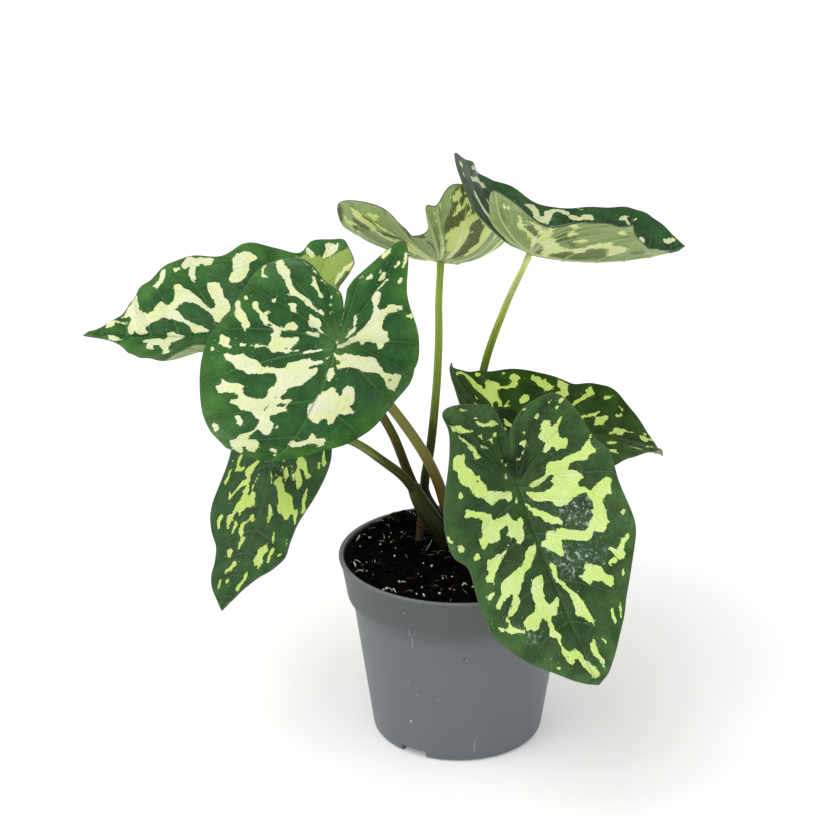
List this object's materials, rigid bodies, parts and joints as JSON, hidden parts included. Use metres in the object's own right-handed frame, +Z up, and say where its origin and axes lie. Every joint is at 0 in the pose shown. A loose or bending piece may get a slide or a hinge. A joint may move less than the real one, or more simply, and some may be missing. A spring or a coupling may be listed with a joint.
{
  "type": "potted hilo beauty caladium",
  "caption": "Potted aroid house plant with blotched, heart-shaped leaves on slim stalks in a tapered nursery pot filled with soil; stands on its flat base.",
  "frame": {"origin": "centre of the pot's underside, on the pot's axis, in the plane it stands on", "axes": "+Z up along the pot's axis; +Y away from the viewer of the front side; the biggest leaf hangs over the rim towards -Y and +X"},
  "size_m": [0.3059, 0.2903, 0.2972],
  "materials": {
    "pot_plastic": "moulded, satin, lightly scuffed",
    "soil": "moist peat with perlite and fibres",
    "tuber": "rough, dull",
    "dry_sheath": "dry, papery",
    "stalk": "smooth, satin, olive to dark brown at the foot",
    "leaf": "satin green with cream and lime blotches"
  },
  "bodies": {
    "root": {"pot": "pot_plastic", "soil": "soil", "tuber": "tuber", "dry_sheath": "dry_sheath", "stalk_front_left": "stalk", "stalk_far_left": "stalk", "stalk_low_left": "stalk", "stalk_top_middle": "stalk", "stalk_top_right": "stalk", "stalk_front_right": "stalk", "stalk_back_right": "stalk", "blade_front_left": "leaf", "blade_far_left": "leaf", "blade_low_left": "leaf", "blade_top_middle": "leaf", "blade_top_right": "leaf", "blade_front_right": "leaf", "blade_back_right": "leaf"}
  },
  "joints": []
}
